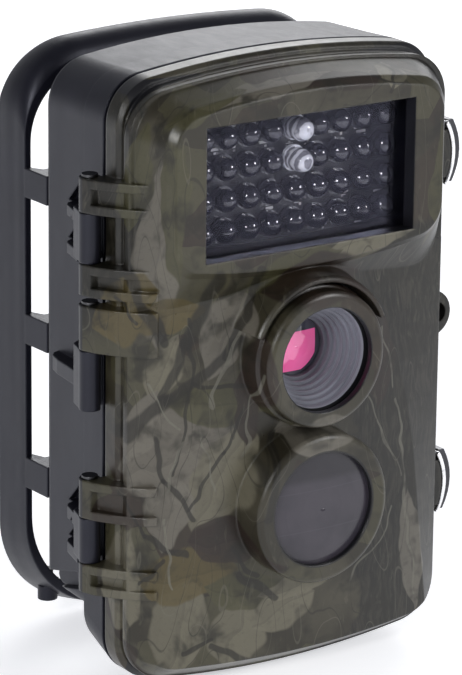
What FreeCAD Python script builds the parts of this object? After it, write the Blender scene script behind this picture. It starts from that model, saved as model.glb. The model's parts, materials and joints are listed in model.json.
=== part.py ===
"""Trail camera: a hinged weatherproof case, its electronics, batteries and strap bracket, as STEP pieces.

Millimetres. X runs across the front, Y from front to back with the seam between the halves at 0, Z up.
"""
import FreeCAD, Part
import math
import os

V = FreeCAD.Vector

# Middle of the bounding box in X and Y, which becomes the origin of every piece
MIDDLE = (1.575, 9.7)

# Case
HALF_W = 39.5
TOP = 135.0
CORNER_R = 9.8
SAG = 3.6
SEAM = 0.5
CASE_BACK = 24.1
FLANGE_BACK = 8.3
UNDERSIDE = 12.3
WALL = 2.0

# Front cover
RIM_FRONT = -5.3
GROOVE_FRONT = -7.5
PANEL_FRONT = -9.5
PANEL_HALF_W = 39.8
MESA = -13.2
CROWN = -16.4
CAVITY_HALF_W = 36.6

# Levels of the raised front: height, half width
MESA_LEVELS = ((1.0, 35.4), (9.3, 34.9), (20.0, 33.6), (31.0, 32.4), (45.0, 30.8), (55.0, 29.0),
               (65.0, 26.4), (75.4, 22.4), (90.0, 15.0))

# Illuminator
IR_HALF_W = 33.8
IR_FRONT = -17.5
WINDOW = (26.1, 95.6, 124.1)
LED_PITCH = (5.74, 6.68)
LED_CENTRE_Z = 108.4
LED_COLUMNS = 10
LED_ROWS = 4
CLEAR_LEDS = ((5, 0), (5, 1))
LED_R = 2.5
LED_TIP = -9.3
CLEAR_TIP = -11.9
PANE = (-13.7, -12.7)

# Lens and motion sensor
LENS_Z = 72.7
LENS_RING_R = 14.7
LENS_OPENING_R = 11.3
LENS_FRONT = -24.2
VISOR = (16.2, 17.5, 23.0, 157.0)
VISOR_FRONT = -22.2
PIR_Z = 39.9
PIR_RING_R = 16.4
PIR_OPENING_R = 12.35
PIR_FRONT = -23.9

# Hinges on the left, latches and padlock lugs on the right
HINGE_X = -43.0
BARREL_R = 2.25
HINGE_PIN_R = 1.0
RUN_CLEARANCE = 0.05
COVER_KNUCKLES = ((105.4, 112.6), (87.8, 94.4), (76.0, 85.6), (39.5, 47.8), (23.0, 29.3))
CASE_KNUCKLES = ((94.6, 105.2), (62.9, 75.8), (29.5, 39.3))
HINGE_PINS = {"hinge_pin_upper": (87.8, 112.6), "hinge_pin_middle": (62.9, 85.6),
              "hinge_pin_lower": (23.0, 47.8)}
LATCH_Z = {"latch_upper": 106.8, "latch_lower": 32.1}
LATCH_HALF_H = 6.9
LATCH_OUT = 48.4
LATCH_SAG = 1.9
WIRE_R = 0.6
WIRE_X = 45.65
WIRE_Y = -4.6
LATCH_PIVOT = (44.6, 10.0)
LUG_X = 41.0
LUG_Z = 71.2
LUG_R = 5.2
LUG_HOLE = (42.6, 2.3)

# Strap bracket: levels of its hoop as (y, half width, foot, top), its ribs and its screws
BRACKET_FRONT = 24.2
RIM_Y = 32.6
BRACKET_BACK = 43.6
HOOP = ((BRACKET_FRONT, 38.6, 4.5, 129.4), (RIM_Y, 38.9, 4.5, 129.6), (33.2, 38.9, 4.2, 131.0),
        (34.6, 39.0, 3.9, 132.5), (36.6, 39.0, 3.4, 133.3), (38.8, 39.1, 2.9, 133.2),
        (41.6, 39.1, 2.3, 132.4), (BRACKET_BACK, 39.1, 2.0, 131.4))
HOOP_R = 16.0
HOOP_FOOT_R = 22.0
HOOP_SAG = 2.2
RIBS = ((35.2, 42.0), (67.7, 74.3), (100.1, 106.4))
BRACKET_SCREWS = ((-22.0, 38.5), (22.0, 38.5), (-22.0, 103.2), (22.0, 103.2))

# Batteries
CELL_R = 7.1
CELL_Y = 11.6
CELL_X = (-21.9, -7.3, 7.3, 21.9)
CELL_BODY = 49.3
CELL_NUB = 1.0
SPRING_H = 1.35
PLATE_T = 0.4
TRAY = (30.2, 22.2, 129.8)
ROWS = ((23.1, 75.55), (76.45, 128.9))

# Electronics in the front half: faces of the boards and of the inner panel
BOARD = (-8.2, -6.6)
LED_BOARD = (-5.0, -3.4)
PANEL = (-3.0, -1.2)
LCD_Z = 71.0
PANEL_SCREWS = ((-33.2, 12.0), (33.2, 12.0), (-33.2, 68.0), (33.2, 68.0), (-31.5, 125.5), (31.5, 125.5))
GUSSETS = ((27.6, 30.1), (35.3, 38.0), (93.6, 95.8), (101.7, 103.9))
KEYS = {"key_up": (0.0, 42.5), "key_down": (0.0, 25.5), "key_left": (-9.0, 34.0), "key_right": (9.0, 34.0),
        "key_ok": (0.0, 34.0), "key_menu": (-22.0, 39.0), "key_view": (-22.0, 29.0)}
KEY_R = 2.8
SWITCH = (22.0, 34.0, 3.0)
JACK = (26.0, 15.0)
PORT_FLAP_Z = 11.1
TRIPOD = (0.0, 14.5)


def box(x0, x1, y0, y1, z0, z1):
    return Part.makeBox(x1 - x0, y1 - y0, z1 - z0, V(x0, y0, z0))


def cyl_y(r, x, z, y0, y1):
    return Part.makeCylinder(r, y1 - y0, V(x, y0, z), V(0, 1, 0))


def cyl_z(r, x, y, z0, z1):
    return Part.makeCylinder(r, z1 - z0, V(x, y, z0), V(0, 0, 1))


def cyl_x(r, y, z, x0, x1):
    return Part.makeCylinder(r, x1 - x0, V(x0, y, z), V(1, 0, 0))


def fuse(shapes):
    out = shapes[0]
    for shape in shapes[1:]:
        out = out.fuse(shape)
    return out.removeSplitter()


def cut(shape, tools):
    return shape.cut(Part.makeCompound(tools))


def corner(a, z_end, r, sag, y, up):
    """Points of an outline's left corner: where it leaves the side, its middle, where it meets the arch."""
    arch_r = (a * a + sag * sag) / (2 * sag)
    cx = a - r
    cz = -arch_r + math.sqrt((arch_r - r) ** 2 - cx * cx)
    angle = math.atan2(cz + arch_r, -cx)
    middle = (math.pi + angle) / 2
    sign = 1 if up else -1
    side = V(-a, y, z_end + sign * cz)
    mid = V(-cx + r * math.cos(middle), y, z_end + sign * (cz + r * math.sin(middle)))
    end = V(-cx + r * math.cos(angle), y, z_end + sign * (cz + r * math.sin(angle)))
    return side, mid, end


def mirrored(point):
    return V(-point.x, point.y, point.z)


def outline(a, z0, z1, y, r=CORNER_R, sag=SAG, foot_r=None):
    """A closed wire in the plane Y = y: straight sides, rounded corners, gently arched top and bottom."""
    ts, tm, te = corner(a, z1, r, sag, y, True)
    bs, bm, be = corner(a, z0, foot_r or r, sag, y, False)
    edges = [
        Part.LineSegment(bs, ts).toShape(),
        Part.Arc(ts, tm, te).toShape(),
        Part.Arc(te, V(0, y, z1), mirrored(te)).toShape(),
        Part.Arc(mirrored(te), mirrored(tm), mirrored(ts)).toShape(),
        Part.LineSegment(mirrored(ts), mirrored(bs)).toShape(),
        Part.Arc(mirrored(bs), mirrored(bm), mirrored(be)).toShape(),
        Part.Arc(mirrored(be), V(0, y, z0), be).toShape(),
        Part.Arc(be, bm, bs).toShape(),
    ]
    return Part.Wire(edges)


def slab(a, z0, z1, y0, y1, r=CORNER_R, sag=SAG):
    return Part.Face(outline(a, z0, z1, y0, r, sag)).extrude(V(0, y1 - y0, 0))


def loft(wires, ruled=True):
    return Part.makeLoft(wires, True, ruled)


def polygon_xy(points, z0, z1):
    wire = Part.makePolygon([V(x, y, z0) for x, y in points + points[:1]])
    return Part.Face(wire).extrude(V(0, 0, z1 - z0))


def polygon_yz(points, x0, x1):
    wire = Part.makePolygon([V(x0, y, z) for y, z in points + points[:1]])
    return Part.Face(wire).extrude(V(x1 - x0, 0, 0))


def turned_y(profile, x, z):
    """A solid of revolution about the Y line through (x, z), from (radius, y) points."""
    wire = Part.makePolygon([V(x + r, y, z) for r, y in profile + profile[:1]])
    return Part.Face(wire).revolve(V(x, 0, z), V(0, 1, 0), 360)


def mesa_section(half_w, z, flank, front_edge, crown, back):
    """One level of the raised front: back face, sloping flanks, crowned middle."""
    p = [V(-PANEL_HALF_W, back, z), V(-PANEL_HALF_W, flank, z), V(-half_w, front_edge, z)]
    q = [mirrored(v) for v in p]
    return Part.Wire([
        Part.LineSegment(p[0], p[1]).toShape(),
        Part.LineSegment(p[1], p[2]).toShape(),
        Part.Arc(p[2], V(0, crown, z), q[2]).toShape(),
        Part.LineSegment(q[2], q[1]).toShape(),
        Part.LineSegment(q[1], q[0]).toShape(),
        Part.LineSegment(q[0], p[0]).toShape(),
    ])


def mesa(step, back):
    """The raised front, set back by step so that the same shape also hollows it."""
    return loft([mesa_section(w - step, z, PANEL_FRONT + step, MESA + step, CROWN + step, back)
                 for z, w in MESA_LEVELS])


def visor(r_in, r_out, y_front, y_back):
    """The hood over the lens: a ring sector, wider at its foot."""
    ring = turned_y([(r_in, y_front), (r_out - 0.5, y_front), (r_out, y_front + 0.6),
                     (r_out + 1.3, y_back), (r_in, y_back)], 0, LENS_Z)
    low, high = VISOR[2], VISOR[3]
    reach = 60.0
    points = [V(0, y_front - 1, LENS_Z)]
    for k in range(9):
        t = math.radians(low + (high - low) * k / 8)
        points.append(V(reach * math.cos(t), y_front - 1, LENS_Z + reach * math.sin(t)))
    wedge = Part.Face(Part.makePolygon(points + points[:1])).extrude(V(0, y_back - y_front + 2, 0))
    return ring.common(wedge)


def cover_knuckle(z0, z1):
    arm = polygon_xy([(-45.1, -0.8), (-44.0, -3.6), (-41.6, -7.2), (-38.8, -10.4), (-36.6, -12.4),
                      (-35.2, -13.1), (-34.6, -13.1), (-34.6, -9.0), (-37.2, -1.0), (-43.0, -0.6)], z0, z1)
    knuckle = fuse([cyl_z(BARREL_R, HINGE_X, 0, z0, z1), arm])
    rib = 1.9
    if z1 - z0 < 9.0:
        pocket = polygon_xy([(-46.5, -2.4), (-42.4, -2.4), (-40.6, -5.6), (-38.4, -8.6), (-34.0, -10.5),
                             (-34.0, -14.0), (-46.5, -14.0)], z0 + rib, z1 - rib)
        knuckle = knuckle.cut(pocket)
    return knuckle


def led_positions(clear):
    spots = []
    for column in range(LED_COLUMNS):
        for row in range(LED_ROWS):
            if ((column, row) in CLEAR_LEDS) == clear:
                x = (column - (LED_COLUMNS - 1) / 2) * LED_PITCH[0]
                z = LED_CENTRE_Z + ((LED_ROWS - 1) / 2 - row) * LED_PITCH[1]
                spots.append((x, z))
    return spots


def led(x, z, tip):
    """A bullet LED standing on the front face of the LED board."""
    foot = LED_BOARD[0]
    collar = min(foot - 1.0, tip + LED_R + 2.8)
    dome = Part.makeSphere(LED_R, V(x, tip + LED_R, z))
    lamp = fuse([dome, cyl_y(LED_R, x, z, tip + LED_R, collar), cyl_y(2.82, x, z, collar, collar + 0.9),
                 cyl_y(1.9, x, z, collar + 0.9, foot)])
    return lamp.cut(box(x - 4, x + 4, foot, foot + 5, z - 4, z + 4))


def keeper(zc):
    """The bowed lug on the cover's side that the latch wire snaps over."""
    half = 5.2
    high = WIRE_X - WIRE_R - 0.3
    ends = high - LATCH_SAG * (half / LATCH_HALF_H) ** 2
    wire = Part.Wire([
        Part.LineSegment(V(37.0, -5.2, zc - half), V(ends, -5.2, zc - half)).toShape(),
        Part.Arc(V(ends, -5.2, zc - half), V(high, -5.2, zc), V(ends, -5.2, zc + half)).toShape(),
        Part.LineSegment(V(ends, -5.2, zc + half), V(37.0, -5.2, zc + half)).toShape(),
        Part.LineSegment(V(37.0, -5.2, zc + half), V(37.0, -5.2, zc - half)).toShape(),
    ])
    return Part.Face(wire).extrude(V(0, 4.0, 0))


def padlock_lug(y0, y1):
    """The half-round lug at the middle of the right-hand side, before its hole is bored."""
    return fuse([cyl_y(LUG_R, LUG_X, LUG_Z, y0, y1), box(36.0, LUG_X, y0, y1, LUG_Z - 6, LUG_Z + 6)])


def front_cover():
    body = [
        slab(HALF_W, 0.0, TOP, RIM_FRONT + 0.9, -SEAM),
        loft([outline(HALF_W - 0.8, 0.8, TOP - 0.8, RIM_FRONT), outline(HALF_W, 0.0, TOP, RIM_FRONT + 0.9)]),
        slab(HALF_W - 1.3, 1.5, TOP - 1.6, GROOVE_FRONT - 0.2, RIM_FRONT + 0.2),
        slab(PANEL_HALF_W - 0.3, 1.6, TOP - 1.8, PANEL_FRONT, GROOVE_FRONT),
    ]
    bevel = loft([outline(PANEL_HALF_W, 1.6, TOP - 1.8, PANEL_FRONT + 0.6),
                  outline(PANEL_HALF_W - 3.0, 6.5, TOP - 6.5, CROWN - 0.6)])
    body.append(mesa(0.0, PANEL_FRONT + 0.5).common(bevel))
    body.append(loft([outline(PANEL_HALF_W - 1.4, 80.0, TOP - 2.2, PANEL_FRONT + 0.3),
                      outline(IR_HALF_W + 0.9, 90.2, TOP - 4.6, IR_FRONT + 1.6, 7.5),
                      outline(IR_HALF_W - 0.4, 91.6, TOP - 6.0, IR_FRONT, 6.5)]))
    body.append(turned_y([(0.0, LENS_FRONT + 0.4), (13.6, LENS_FRONT), (14.3, LENS_FRONT + 0.3),
                          (LENS_RING_R, LENS_FRONT + 0.9), (LENS_RING_R, -20.6), (15.4, -20.3), (15.6, -12.5),
                          (0.0, -12.5)], 0, LENS_Z))
    body.append(turned_y([(0.0, PIR_FRONT + 0.4), (15.3, PIR_FRONT), (16.0, PIR_FRONT + 0.3),
                          (PIR_RING_R, PIR_FRONT + 0.9), (PIR_RING_R + 0.2, -12.5), (0.0, -12.5)], 0, PIR_Z))
    body.append(visor(VISOR[0], VISOR[1], VISOR_FRONT, -12.5))
    body += [cover_knuckle(z0, z1) for z0, z1 in COVER_KNUCKLES]
    body.append(padlock_lug(-4.6, -1.0))
    body += [keeper(z) for z in LATCH_Z.values()]
    cover = fuse(body)

    tools = [
        slab(CAVITY_HALF_W, 3.0, TOP - 3.2, -7.2, 0.0, 8.0),
        mesa(2.4, -6.5).common(box(-35, 35, -14.2, -6.6, 6.5, 92)),
        slab(29.6, 93.2, 126.6, PANE[0] - 0.05, -7.1, 3.0, 1.0),
        box(-WINDOW[0], WINDOW[0], -20, PANE[0], WINDOW[1], WINDOW[2]),
        turned_y([(0.0, -30), (LENS_OPENING_R, -30), (LENS_OPENING_R, -22.6), (12.6, -22.6), (12.6, -5.0),
                  (0.0, -5.0)], 0, LENS_Z),
        turned_y([(0.0, -30), (PIR_OPENING_R + 1.2, -30), (PIR_OPENING_R, -23.3), (PIR_OPENING_R, -22.7),
                  (13.6, -22.7), (13.6, -5.0), (0.0, -5.0)], 0, PIR_Z),
        cyl_y(LUG_HOLE[1], LUG_HOLE[0], LUG_Z, -10, 0),
        cyl_z(0.6, 0, -4.0, -1.0, 4.0),
    ]
    tools += [cyl_z(HINGE_PIN_R + RUN_CLEARANCE, HINGE_X, 0, z0 - 1, z1 + 1) for z0, z1 in COVER_KNUCKLES]
    cover = cut(cover, tools)
    posts = []
    for x, z in PANEL_SCREWS:
        posts.append(cyl_y(2.6, x, z, -8.5, PANEL[0] - 0.02).cut(cyl_y(0.85, x, z, -8.0, -3.0)))
    return cover.fuse(Part.makeCompound(posts)).removeSplitter()


def door_seal():
    return slab(HALF_W - 0.6, 0.6, TOP - 0.6, -0.45, 0.3).cut(slab(HALF_W - 2.4, 2.4, TOP - 2.4, -1, 1, 8.0))


def rear_case():
    main = loft([outline(HALF_W, 0.0, TOP, SEAM), outline(HALF_W - 0.2, 3.0, TOP - 0.4, FLANGE_BACK)])
    levels = ((FLANGE_BACK - 0.6, 0.2, 0.4, 9.8), (CASE_BACK - 1.6, 0.6, 0.9, 9.8),
              (CASE_BACK - 0.5, 0.95, 1.35, 9.6), (CASE_BACK, 1.6, 2.2, 9.2))
    box_part = loft([outline(HALF_W - inset, UNDERSIDE + drop - 0.4, TOP - drop, y, r, SAG, 2.6)
                     for y, inset, drop, r in levels])
    boss = box(-10, 10, FLANGE_BACK - 2, CASE_BACK - 2.0, 0.0, UNDERSIDE + 3)
    solids = [main, box_part, boss]
    for z0, z1 in CASE_KNUCKLES:
        arm = polygon_xy([(-45.0, 0.6), (-43.6, 5.4), (-38.0, 9.0), (-38.0, 1.2), (-43.0, 0.4)], z0, z1)
        solids += [cyl_z(BARREL_R, HINGE_X, 0, z0, z1), arm]
    for z0, z1 in GUSSETS:
        solids.append(polygon_xy([(-43.4, 4.2), (-41.6, 11.2), (-40.6, 12.4), (-38.0, 13.4), (-38.0, 3.0)],
                                 z0, z1))
    solids.append(polygon_xy([(-43.6, 3.6), (-42.4, 14.0), (-41.6, 17.0), (-40.4, 18.4), (-38.0, 19.4),
                              (-38.0, 3.0)], 66.6, 69.8))
    for z in LATCH_Z.values():
        for side in (-1, 1):
            z0 = z + side * 5.6 - 1.2
            solids.append(polygon_xy([(37.5, 4.5), (42.2, 7.6), (46.4, 8.2), (46.4, 12.0), (37.5, 15.5)],
                                     z0, z0 + 2.4))
    solids.append(padlock_lug(0.8, 4.4))
    case = fuse(solids)
    tools = [
        slab(HALF_W - 2.6, 26.0, TOP - 2.6, 0.0, CASE_BACK - WALL, 8.6),
        box(-31.0, 31.0, 0.0, CASE_BACK - WALL, 21.6, 36.0),
        slab(HALF_W - 2.6, 3.0, 60.0, 0.0, 6.0, 8.0),
        cyl_y(LUG_HOLE[1], LUG_HOLE[0], LUG_Z, -1, 12),
        cyl_z(4.3, TRIPOD[0], TRIPOD[1], -1.0, 9.0),
        cyl_z(3.2, JACK[0], JACK[1], 10.0, 17.6),
        cyl_z(5.0, JACK[0], JACK[1], 17.5, 22.0),
    ]
    for x0, x1 in ((-50.0, -35.8), (35.8, 50.0)):
        tools.append(polygon_yz([(25.5, 14.6), (10.2, 19.0), (11.0, 22.6), (25.5, 18.6)], x0, x1))
    tools += [polygon_yz([(14.6, z1), (8.0, z1), (8.0, z1 + 6.6)], -50.0, -37.6) for z0, z1 in GUSSETS]
    tools += [cyl_y(1.5, x, z, CASE_BACK - 1.9, CASE_BACK + 1) for x, z in BRACKET_SCREWS]
    tools += [cyl_z(HINGE_PIN_R, HINGE_X, 0, z0 - 1, z1 + 1) for z0, z1 in CASE_KNUCKLES]
    for z in LATCH_Z.values():
        tools.append(cyl_z(0.9, LATCH_PIVOT[0], LATCH_PIVOT[1], z - 7, z + 7))
    return cut(case, tools)


def bow(x, z, zc):
    """How far out a bowed part of a latch lies at height z, when its middle is at x."""
    return x - LATCH_SAG * ((z - zc) / LATCH_HALF_H) ** 2


def latch(zc):
    """An over-centre lever: barrel at the back and a bowed finger plate that runs forward to the seam."""
    def section(z):
        out = bow(LATCH_OUT, z, zc)
        return Part.makePolygon([V(out, -3.4, z), V(out - 0.3, 4.0, z), V(bow(46.9, z, zc), 11.6, z),
                                 V(bow(45.2, z, zc), 11.6, z), V(out - 1.7, 4.0, z), V(out - 1.4, -3.4, z),
                                 V(out, -3.4, z)])

    steps = 8
    plate = loft([section(zc - LATCH_HALF_H + 2 * LATCH_HALF_H * k / steps) for k in range(steps + 1)])
    gap = 0.3
    barrel = cyl_z(1.9, LATCH_PIVOT[0], LATCH_PIVOT[1], zc - 4.4 + gap, zc + 4.4 - gap)
    web = polygon_xy([(44.2, 8.2), (46.6, 8.2), (46.6, 11.4), (44.2, 11.8)], zc - 4.4 + gap, zc + 4.4 - gap)
    posts = []
    for side in (-1, 1):
        z = zc + side * 5.9
        posts.append(cyl_x(0.95, -1.6, z, bow(LATCH_OUT, z, zc) - 2.9, bow(LATCH_OUT, z, zc) - 1.2))
    lever = fuse([plate, barrel, web] + posts)
    slots = []
    for side in (-1, 1):
        z0 = zc + side * 5.6 - 1.2 - gap
        slots.append(box(36.0, 46.9, 4.0, 16.0, z0, z0 + 2.4 + 2 * gap))
    slots.append(cyl_z(0.9 + RUN_CLEARANCE, LATCH_PIVOT[0], LATCH_PIVOT[1], zc - 8, zc + 8))
    slots.append(latch_wire(zc))
    return cut(lever, slots)


def latch_wire(zc):
    """The sprung steel wire on the lever: a bowed middle, and two legs that run back into its posts."""
    half = 6.5
    sag = LATCH_SAG * (half / LATCH_HALF_H) ** 2
    radius = (half * half + sag * sag) / (2 * sag)
    centre = V(WIRE_X - radius, WIRE_Y, zc)
    turn = math.asin(half / radius)
    start = centre + V(radius * math.cos(turn), 0, -half)
    circle = Part.Wire([Part.Circle(start, V(math.sin(turn), 0, math.cos(turn)), WIRE_R).toShape()])
    pieces = [Part.Face(circle).revolve(centre, V(0, -1, 0), math.degrees(2 * turn))]
    for side in (-1, 1):
        knee = V(start.x, WIRE_Y, zc + side * half)
        foot = V(bow(LATCH_OUT, zc + 5.9, zc) - 2.2, -1.6, zc + side * 5.9)
        pieces.append(Part.makeSphere(WIRE_R, knee))
        pieces.append(Part.makeCylinder(WIRE_R, (foot - knee).Length, knee, foot - knee))
    return fuse(pieces)


def strap_bracket():
    """A hoop behind the case, on three ribs a side and three bars, open between them for a strap."""
    def level(k, inset):
        y, a, z0, z1 = HOOP[k]
        deep = inset * 1.3
        slim = inset / 2
        return outline(a - inset, z0 + deep, z1 - deep, y, HOOP_R - slim, HOOP_SAG, HOOP_FOOT_R - slim)

    y0 = BRACKET_FRONT
    outer = fuse([loft([level(k, 0.0) for k in (0, 1)]),
                  loft([level(k, 0.0) for k in range(1, len(HOOP))], False)])
    inner = loft([level(k, 1.5) for k in range(len(HOOP))])
    gaps = [(-10.0, RIBS[0][0]), (RIBS[0][1], RIBS[1][0]), (RIBS[1][1], RIBS[2][0]), (RIBS[2][1], 150.0)]
    tools = [inner] + [box(-60, 60, 20.0, RIM_Y, z0, z1) for z0, z1 in gaps]
    hoop = cut(outer, tools)
    extra = []
    for z0, z1 in RIBS:
        for side in (-1, 1):
            xs = sorted((side * 37.6, side * 30.0))
            extra.append(box(xs[0], xs[1], y0, 33.0, z0 + 1.0, z1 - 1.0))
            xs = sorted((side * 37.8, side * 33.5))
            extra.append(polygon_yz([(32.0, z0 + 1.0), (41.0, z0 + 2.4), (41.0, z1 - 2.4), (32.0, z1 - 1.0)],
                                    xs[0], xs[1]))
    for z0, z1 in ((66.0, 76.0), (34.0, 43.0), (99.0, 107.5)):
        extra.append(box(-34, 34, y0, y0 + 2.4, z0, z1))
    for x in (-15.0, 15.0):
        extra.append(box(x - 1.5, x + 1.5, y0, y0 + 2.4, 12.0, 129.0))
        extra.append(box(x - 1.5, x + 1.5, y0, 34.6, 125.6, 129.0))
        extra.append(box(x - 1.5, x + 1.5, y0, 34.6, 12.0, 15.0))
        extra.append(box(x - 1.5, x + 1.5, 32.7, 36.0, 5.0, 15.0))
    for x in (-30.0, 30.0):
        extra.append(fuse([cyl_z(1.25, x, 38.5, 8.8, 13.0), cyl_z(2.2, x, 38.5, 6.0, 9.2)]))
    bracket = fuse([hoop] + extra)
    holes = [cyl_y(1.6, x, z, y0 - 1, y0 + 5) for x, z in BRACKET_SCREWS]
    holes += [cyl_y(3.3, x, z, y0 + 1.4, y0 + 6) for x, z in BRACKET_SCREWS]
    return cut(bracket, holes)


def bracket_screws():
    screws = []
    y0 = BRACKET_FRONT
    for x, z in BRACKET_SCREWS:
        head = cyl_y(3.0, x, z, y0 + 1.4, y0 + 3.2)
        cross = fuse([box(x - 1.6, x + 1.6, y0 + 2.2, y0 + 4, z - 0.3, z + 0.3),
                      box(x - 0.3, x + 0.3, y0 + 2.2, y0 + 4, z - 1.6, z + 1.6)])
        shank = cyl_y(1.5, x, z, CASE_BACK - 1.9, y0 + 1.4)
        screws.append(fuse([head, shank]).cut(cross))
    return Part.makeCompound(screws)


def tripod_insert():
    body = cyl_z(4.25, TRIPOD[0], TRIPOD[1], 0.3, 8.9)
    return body.cut(cyl_z(3.175, TRIPOD[0], TRIPOD[1], 0.0, 8.0))


def dc_jack():
    x, y = JACK
    body = fuse([cyl_z(4.9, x, y, 17.6, 21.9), cyl_z(3.15, x, y, 15.6, 17.6)])
    return fuse([body.cut(cyl_z(2.75, x, y, 15.0, 21.0)), cyl_z(0.95, x, y, 17.0, 21.0)])


def port_cover():
    x, y = JACK
    z = PORT_FLAP_Z
    leaf = box(x - 4.6, x + 4.6, 10.2, 19.6, z, z + 1.5)
    plug = cyl_z(2.6, x, y, z + 1.4, z + 2.9).cut(cyl_z(1.8, x, y, z + 1.7, z + 3.5))
    barrel = cyl_x(0.8, 19.8, z + 0.75, x - 4.6, x + 4.6)
    tab = box(x - 1.5, x + 1.5, 9.0, 10.4, z, z + 1.0)
    return fuse([leaf, plug, barrel, tab])


def battery_tray():
    half, z0, z1 = TRAY
    tray = box(-half, half, 6.0, CASE_BACK - WALL - 0.1, z0, z1)
    tools = []
    for low, high in ROWS:
        for x in CELL_X:
            tools.append(box(x - 6.9, x + 6.9, 5.0, CELL_Y, low, high))
            tools.append(cyl_z(CELL_R + 0.12, x, CELL_Y, low + PLATE_T, high - PLATE_T))
        for x in (-14.6, 14.6):
            tools.append(box(x - 12.0, x + 12.0, CELL_Y - 5.4, CELL_Y + 4.4, low, low + PLATE_T))
            tools.append(box(x - 12.0, x + 12.0, CELL_Y - 5.4, CELL_Y + 4.4, high - PLATE_T, high))
        tools.append(box(-28.6, 28.6, 5.0, 8.6, low + 18.0, high - 18.0))
    return cut(tray, tools)


def cells():
    out = []
    springs = []
    plates = []
    for row, (low, high) in enumerate(ROWS):
        for k, x in enumerate(CELL_X):
            up = (k + row) % 2 == 0
            base = low + PLATE_T
            body0 = base + (SPRING_H if up else CELL_NUB)
            body = cyl_z(CELL_R, x, CELL_Y, body0, body0 + CELL_BODY)
            nub0 = body0 + CELL_BODY if up else base
            body = fuse([body, cyl_z(2.7, x, CELL_Y, nub0, nub0 + CELL_NUB)])
            ring = body0 + 1.2 if not up else body0 + CELL_BODY - 1.5
            groove = cyl_z(CELL_R + 1, x, CELL_Y, ring, ring + 0.3)
            out.append(body.cut(groove.cut(cyl_z(CELL_R - 0.25, x, CELL_Y, ring, ring + 0.3))))
            foot = base if up else body0 + CELL_BODY
            coils = [Part.makeTorus(r, 0.3, V(x, CELL_Y, foot + h), V(0, 0, 1))
                     for r, h in ((3.4, 0.3), (3.0, 0.675), (2.6, 1.05))]
            springs.append(fuse(coils))
        for x in (-14.6, 14.6):
            for z in (low, high - PLATE_T):
                plates.append(box(x - 11.8, x + 11.8, CELL_Y - 5.2, CELL_Y + 4.2, z, z + PLATE_T))
    return out, springs, plates


def led_plate():
    """The black tray round the LEDs: it presses the window forward from the LED board."""
    ring = slab(29.4, 93.4, 126.4, PANE[1] + 0.05, LED_BOARD[0] - 0.02, 2.9, 1.0)
    return ring.cut(slab(28.75, 94.4, 125.4, -14, -4, 2.5, 1.0))


def led_window():
    return slab(29.4, 93.4, 126.4, PANE[0], PANE[1], 2.9, 1.0)


def lens_baffle():
    steps = 7
    front, back = -21.4, -12.3
    r0, r1 = 10.7, 6.4
    profile = [(12.5, front), (12.5, -11.5), (r1, -11.5)]
    for k in range(steps):
        r = r1 + (r0 - r1) * k / (steps - 1)
        y_low = back + (front + 0.6 - back) * k / steps
        y_high = back + (front + 0.6 - back) * (k + 1) / steps
        profile += [(r, y_low), (r, y_high)]
    profile += [(r0 + 0.2, front)]
    return turned_y(profile, 0, LENS_Z)


def lens_glass():
    return turned_y([(0.0, -12.7), (3.0, -12.6), (6.3, -12.1), (6.3, -11.5), (0.0, -11.5)], 0, LENS_Z)


def lens_barrel():
    tube = cyl_y(6.6, 0, LENS_Z, -11.45, -9.4)
    return tube.cut(cyl_y(4.5, 0, LENS_Z, -12, -9))


def lens_element():
    return turned_y([(0.0, -11.3), (4.4, -10.8), (4.4, -10.2), (0.0, -9.9)], 0, LENS_Z)


def lens_holder():
    block = box(-9.5, 9.5, -11.45, BOARD[0], LENS_Z - 9.5, LENS_Z + 9.5)
    return block.cut(cyl_y(6.65, 0, LENS_Z, -12, -8))


def pir_window():
    return turned_y([(0.0, -23.5), (5.0, -23.35), (9.0, -23.0), (12.2, -22.55), (13.45, -22.55),
                     (13.45, -21.8), (11.8, -21.8), (8.8, -22.3), (4.9, -22.65), (0.0, -22.8)], 0, PIR_Z)


def pir_funnel():
    return turned_y([(13.45, -21.75), (13.45, -19.2), (6.9, BOARD[0]), (5.6, BOARD[0]), (12.3, -20.8),
                     (12.3, -21.75)], 0, PIR_Z)


def pir_sensor():
    can = turned_y([(0.0, -12.4), (4.0, -12.4), (4.1, -12.2), (4.1, -8.8), (4.6, -8.8), (4.6, BOARD[0]),
                    (0.0, BOARD[0])], 0, PIR_Z)
    return can.cut(box(-2.0, 2.0, -12.6, -12.1, PIR_Z - 1.5, PIR_Z + 1.5))


def main_board():
    board = box(-30.2, 30.2, BOARD[0], BOARD[1], 15.0, 88.0)
    return cut(board, [cyl_y(1.2, x, z, -9, -5) for x in (-27.5, 27.5) for z in (17.5, 85.5)])


def board_screws():
    screws = []
    for x in (-27.5, 27.5):
        for z in (17.5, 85.5):
            shank = cyl_y(1.15, x, z, BOARD[0] - 0.1, BOARD[1])
            screws.append(fuse([cyl_y(2.0, x, z, BOARD[1], BOARD[1] + 1.2), shank]))
    return screws


def board_chips():
    front, rear = BOARD
    return [
        box(-26.0, -14.0, front - 1.4, front, 56.0, 68.0),
        box(14.0, 24.0, front - 1.2, front, 58.0, 66.0),
        box(15.0, 20.0, front - 1.8, front, 76.0, 82.0),
        box(-22.0, -17.0, front - 1.6, front, 74.0, 79.0),
        box(17.0, 27.0, front - 1.6, front, 22.0, 28.0),
        box(-5.0, 5.0, rear, rear + 1.0, 16.0, 20.0),
        box(14.0, 18.0, rear, rear + 1.2, 24.0, 27.0),
    ]


def led_board():
    return box(-28.4, 28.4, LED_BOARD[0], LED_BOARD[1], 93.0, 127.0)


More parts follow.
